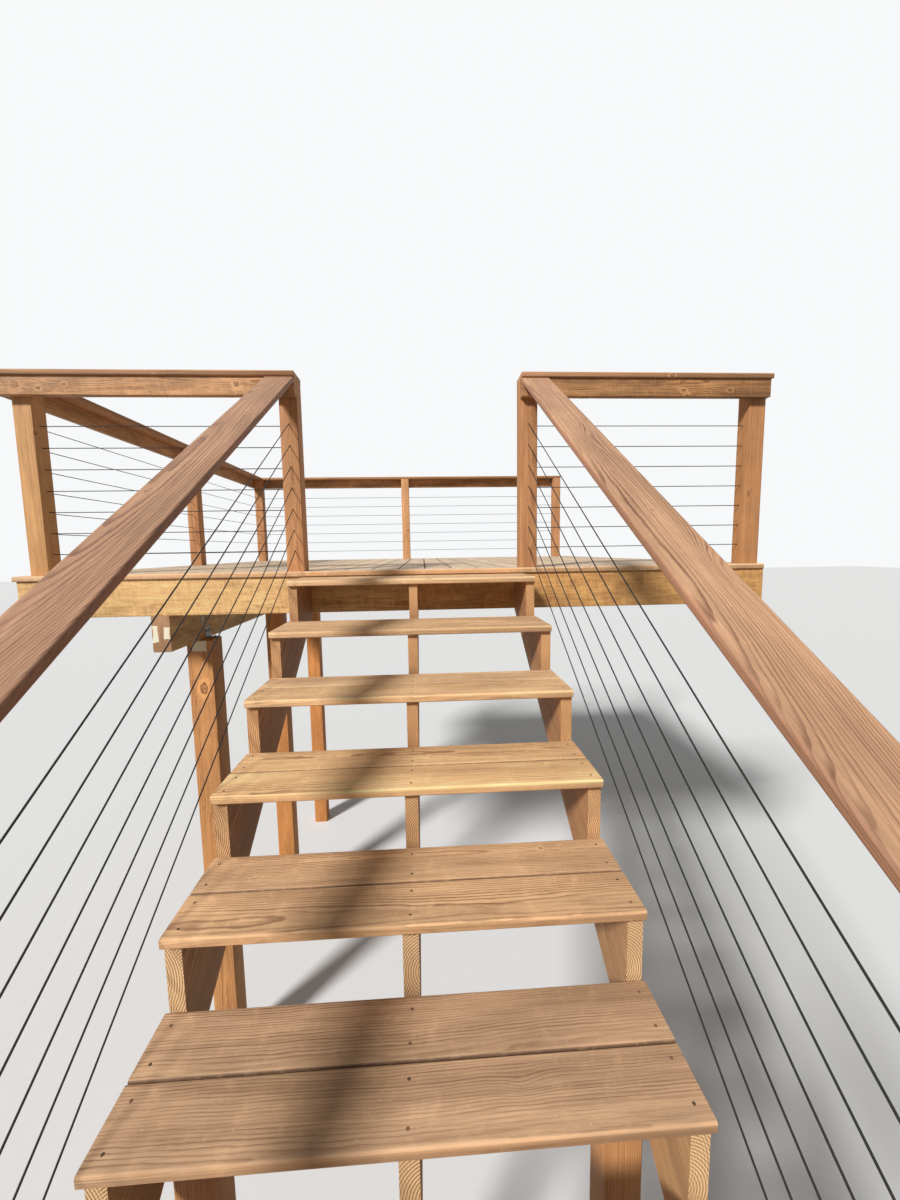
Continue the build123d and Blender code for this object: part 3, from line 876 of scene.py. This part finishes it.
def zinc():
    """Galvanized sheet: pale spangle with duller stains, in greys darkened by painted shade and tinted
    green by a painted reflection.
    """
    s = Shader("zinc")
    place = s.place()
    flake = s.separate(s.cells(place, 160)["Color"])[0]
    stain = s.noise(place, 35, 3.0, 0.6)
    # Painted shade and a painted green reflection darken and tint these greys
    colour = s.mix(flake, (0.24, 0.26, 0.23), (0.36, 0.38, 0.34))
    colour = s.tinge(colour, (0.17, 0.17, 0.14), stain, 0.45, 0.72, 0.6)
    return s.paint({"Base Color": colour, "Metallic": 0.75,
                    "Roughness": s.fade(stain, 0.3, 0.7, 0.48, 0.68)})


UP = Vector((0, 0, 1))
SCREW_INSET = 0.031                 # from a board's edge
TREAD_SCREW_FROM_END = 0.027
BORDER_SCREW_STEP, BORDER_SCREW_FROM_END = 0.4, 0.05
CAP_SCREW_STEP, CAP_SCREW_FROM_END = 0.6, 0.045
HANDRAIL_SCREW_OFFSET = 0.022       # to both sides of a newel's middle
HANDRAIL_SCREW_FROM_END = 0.03
JOIST_MARGIN = 0.01                 # a joist nearer a board's end than this gets no screw there
SCREW_STRAY = 0.0018
END_WITHIN = 0.0005                 # how far from a handrail's end its points may lie
heads, sinks = Parts(), Parts()


def stray():
    return dice.uniform(-SCREW_STRAY, SCREW_STRAY)


def screw_down(x, y, board_top):
    add_screw(Vector((x + stray(), y + stray(), board_top)), UP)


def rows(low, high):
    """The two rows of screws across a board."""
    return low + SCREW_INSET, high - SCREW_INSET


def spread(low, high, from_end, count):
    """Places from end to end of a board, one more than the count."""
    return [low + from_end + (high - low - 2 * from_end) * k / count for k in range(count + 1)]


stringer_x = sum(span("middle_stringer", X)) / 2
for name in sorted(nodes):
    if name.startswith("tread_"):
        for low, high in boxes_of(name):
            for x in (low.x + TREAD_SCREW_FROM_END, stringer_x, high.x - TREAD_SCREW_FROM_END):
                for y in rows(low.y, high.y):
                    screw_down(x, y, high.z)

joist_y = [(low.y + high.y) / 2 for low, high in boxes_of("joists")]
for low, high in boxes_of("deck_boards"):
    for y in joist_y:
        if low.y + JOIST_MARGIN < y < high.y - JOIST_MARGIN:
            for x in rows(low.x, high.x):
                screw_down(x, y, high.z)

rims = [sum(span(name, Y)) / 2 for name in ("front_rim", "back_rim")]
for low, high in boxes_of("deck_border_boards"):
    y = min(rims, key=lambda middle: abs(middle - (low.y + high.y) / 2))
    count = int((high.x - low.x - 2 * BORDER_SCREW_FROM_END) / BORDER_SCREW_STEP) + 1
    for x in spread(low.x, high.x, BORDER_SCREW_FROM_END, count):
        screw_down(x, y, high.z)

for caps, rails in (("front_caps", "front_rail_boards"), ("side_cap", "side_rail_board"),
                    ("back_cap", "back_rail_board")):
    for (low, high), (rail_start, rail_end) in zip(boxes_of(caps), boxes_of(rails)):
        axis = X if high.x - low.x > high.y - low.y else Y
        count = max(1, round((high[axis] - low[axis]) / CAP_SCREW_STEP))
        for value in spread(low[axis], high[axis], CAP_SCREW_FROM_END, count):
            place = (rail_start + rail_end) / 2
            place[axis] = value
            screw_down(place.x, place.y, high.z)

for name in ("left_handrail", "right_handrail"):
    points = [Vector(vertex.co) for vertex in nodes[name].data.vertices]
    ends = [max((p for p in points if abs(p.y - edge) < END_WITHIN), key=lambda p: p.z)
            for edge in (min(p.y for p in points), max(p.y for p in points))]
    slope = (ends[1].z - ends[0].z) / (ends[1].y - ends[0].y)
    normal = Vector((0, -slope, 1)).normalized()
    rail_x = sum(span(name, X)) / 2
    for newels in ("top_newels", "middle_newels", "foot_newels"):
        low, high = min(boxes_of(newels), key=lambda box: abs((box[0].x + box[1].x) / 2 - rail_x))
        newel_x = (low.x + high.x) / 2
        y = min((low.y + high.y) / 2, ends[1].y - HANDRAIL_SCREW_FROM_END)
        top = ends[0].z + slope * (y - ends[0].y)
        for x in (newel_x - HANDRAIL_SCREW_OFFSET, newel_x + HANDRAIL_SCREW_OFFSET):
            add_screw(Vector((x + stray(), y, top)) + Vector((0, 1, slope)) * stray(), normal)

add_piece("screw_heads", heads.mesh("screw_heads"), coated_steel())
add_piece("screw_sinks", sinks.mesh("screw_sinks"), crushed_fibre())

# Joist ties on the beam's inner face, and a bracket on each beam post
TIE_LEGS, TIE_THICKNESS = (0.034, 0.038), 0.0012
TIE_ENDS = ((-0.095, -0.020), (-0.040, 0.018), (0.000, 0.062))
BEAM_NAIL_SETBACK, BEAM_NAIL_DROPS = 0.020, (0.040, 0.072)
JOIST_NAIL_REACH, JOIST_NAIL_LIFTS = 0.024, (0.022, 0.046)
BRACKET_LEGS, BRACKET_THICKNESS, BRACKET_WIDTH = (0.056, 0.068), 0.0022, 0.065
BRACKET_SETBACK = 0.002             # from the post's face
BOLT_FROM_EDGE, BOLT_UP, BOLT_OUT = 0.018, 0.042, 0.034
INWARDS, FORWARDS = Vector((1, 0, 0)), Vector((0, -1, 0))
metal = Parts()
for low, high in boxes_of("joists"):
    corner = Vector((beam_high.x, low.y, beam_high.z))
    add_folded(metal, corner, FORWARDS, INWARDS, UP, TIE_LEGS, TIE_THICKNESS, TIE_ENDS)
    for drop in BEAM_NAIL_DROPS:
        place = corner + Vector((TIE_THICKNESS, -BEAM_NAIL_SETBACK, -drop))
        add_turned(metal, place, INWARDS, NAIL_PROFILE, NAIL_POINTS, 0.0)
    for lift in JOIST_NAIL_LIFTS:
        place = corner + Vector((JOIST_NAIL_REACH, -TIE_THICKNESS, lift))
        add_turned(metal, place, FORWARDS, NAIL_PROFILE, NAIL_POINTS, 0.0)

for low, high in boxes_of("beam_posts"):
    corner = Vector((beam_high.x, high.y - BRACKET_SETBACK, high.z))
    add_folded(metal, corner, INWARDS, UP, FORWARDS, BRACKET_LEGS, BRACKET_THICKNESS,
               [(0.0, BRACKET_WIDTH)] * 3)
    for across in (BOLT_FROM_EDGE, BRACKET_WIDTH - BOLT_FROM_EDGE):
        for offset, normal in ((Vector((BRACKET_THICKNESS, -across, BOLT_UP)), INWARDS),
                               (Vector((BOLT_OUT, -across, BRACKET_THICKNESS)), UP)):
            spin = dice.uniform(0, math.pi)
            add_turned(metal, corner + offset, normal, BOLT_PROFILE, BOLT_POINTS, spin, hexagonal)
add_piece("beam_hardware", metal.mesh("beam_hardware"), zinc())


# Floor, light and camera

def pale_floor():
    """Pale to the camera; it throws less light up at the deck's underside."""
    s = Shader("pale_floor")
    colour = s.mix(s.shows_backdrop(), (0.25, 0.25, 0.245), (0.82, 0.82, 0.81))
    return s.paint({"Base Color": colour, "Roughness": 0.9})


FLOOR_HALF = 60
ground = cad_box[0].z
floor_mesh = bpy.data.meshes.new("floor")
corners = [(x * FLOOR_HALF, y * FLOOR_HALF, ground) for x, y in ((-1, -1), (1, -1), (1, 1), (-1, 1))]
floor_mesh.from_pydata(corners, [], [(0, 1, 2, 3)])
floor_mesh.materials.append(pale_floor())
floor = bpy.data.objects.new("floor", floor_mesh)
bpy.context.scene.collection.objects.link(floor)
floor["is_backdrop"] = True

FILL_STRENGTH, BACKDROP = 0.20, (0.93, 0.94, 0.95)
world = bpy.data.worlds.new("studio")
bpy.context.scene.world = world
world.use_nodes = True
sky = Nodes(world.node_tree)
sky.tree.nodes.clear()
soft = sky.add("ShaderNodeBackground", {"Color": (1, 1, 1), "Strength": FILL_STRENGTH})
plain = sky.add("ShaderNodeBackground", {"Color": BACKDROP, "Strength": 1.0})
choose = sky.add("ShaderNodeMixShader",
                 {0: sky.shows_backdrop(), 1: soft.outputs[0], 2: plain.outputs[0]})
sky.add("ShaderNodeOutputWorld", {0: choose.outputs[0]})


def soft_sun(name, strength, degrees, towards):
    """A far lamp that spans some degrees of the sky; towards is the way its light goes."""
    lamp = bpy.data.lights.new(name, "SUN")
    lamp.energy = strength
    lamp.angle = math.radians(degrees)
    holder = bpy.data.objects.new(name, lamp)
    holder.rotation_mode = "QUATERNION"
    holder.rotation_quaternion = Vector(towards).to_track_quat("-Z", "Y")
    bpy.context.scene.collection.objects.link(holder)


soft_sun("key", strength=3.7, degrees=9, towards=(0.55, 0.62, -0.62))

CAMERA_PLACE = Vector((-1.8064, -4.0931, 0.2138))
CAMERA_YAW, CAMERA_PITCH, CAMERA_ROLL = (math.radians(a) for a in (3.216, -6.105, -0.896))
FOCAL_PIXELS, IMAGE_HEIGHT, SENSOR = 467.85, 1200, 36.0

level = Vector((math.sin(CAMERA_YAW), math.cos(CAMERA_YAW), 0))
look = level * math.cos(CAMERA_PITCH) + Vector((0, 0, math.sin(CAMERA_PITCH)))
right = Vector((math.cos(CAMERA_YAW), -math.sin(CAMERA_YAW), 0))
up = right.cross(look)
turned_right = right * math.cos(CAMERA_ROLL) + up * math.sin(CAMERA_ROLL)
turned_up = up * math.cos(CAMERA_ROLL) - right * math.sin(CAMERA_ROLL)
lens = bpy.data.cameras.new("camera")
lens.sensor_width = SENSOR
lens.lens = FOCAL_PIXELS * SENSOR / IMAGE_HEIGHT
lens.clip_start = 0.02
lens.clip_end = 200
camera = bpy.data.objects.new("camera", lens)
axes = Matrix((turned_right, turned_up, -look)).transposed()
camera.matrix_world = Matrix.Translation(CAMERA_PLACE) @ axes.to_4x4()
bpy.context.scene.collection.objects.link(camera)
bpy.context.scene.camera = camera
bpy.context.scene.view_settings.view_transform = "Standard"

low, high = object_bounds()
